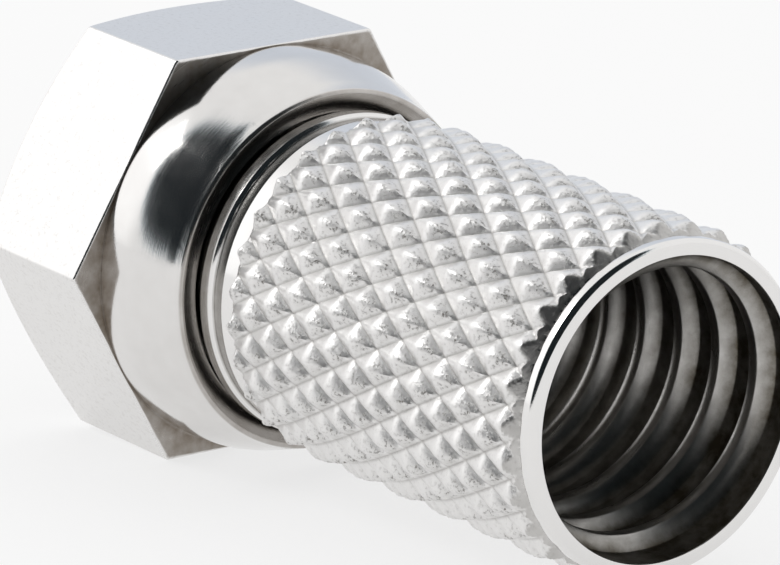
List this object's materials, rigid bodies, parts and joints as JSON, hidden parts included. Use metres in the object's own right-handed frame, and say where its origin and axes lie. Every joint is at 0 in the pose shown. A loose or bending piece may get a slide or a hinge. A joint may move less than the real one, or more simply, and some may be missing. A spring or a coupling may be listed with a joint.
{
  "type": "coaxial f connector",
  "caption": "Screw-on coaxial cable connector: hexagonal coupling nut that turns on a diamond-knurled body with a threaded cable socket.",
  "frame": {"origin": "centre of the coupling nut's mating face, on the connector's axis", "axes": "+X runs along the connector's axis from the mating face to the cable's mouth, +Z is square to one flat of the hexagon"},
  "size_m": [0.0214, 0.0128, 0.011],
  "materials": {
    "nut_plating": "nickel plated, satin on the flats and polished on the round shoulder",
    "body_plating": "nickel plated, bright over the knurl"
  },
  "bodies": {
    "body": {"knurled_body": "body_plating"},
    "nut": {"hex_nut": "nut_plating"}
  },
  "joints": [
    {"name": "nut_spin", "type": "hinge", "parent": "body", "child": "nut", "pos_m": [0, 0, 0], "axis": [1, 0, 0], "continuous": true}
  ]
}
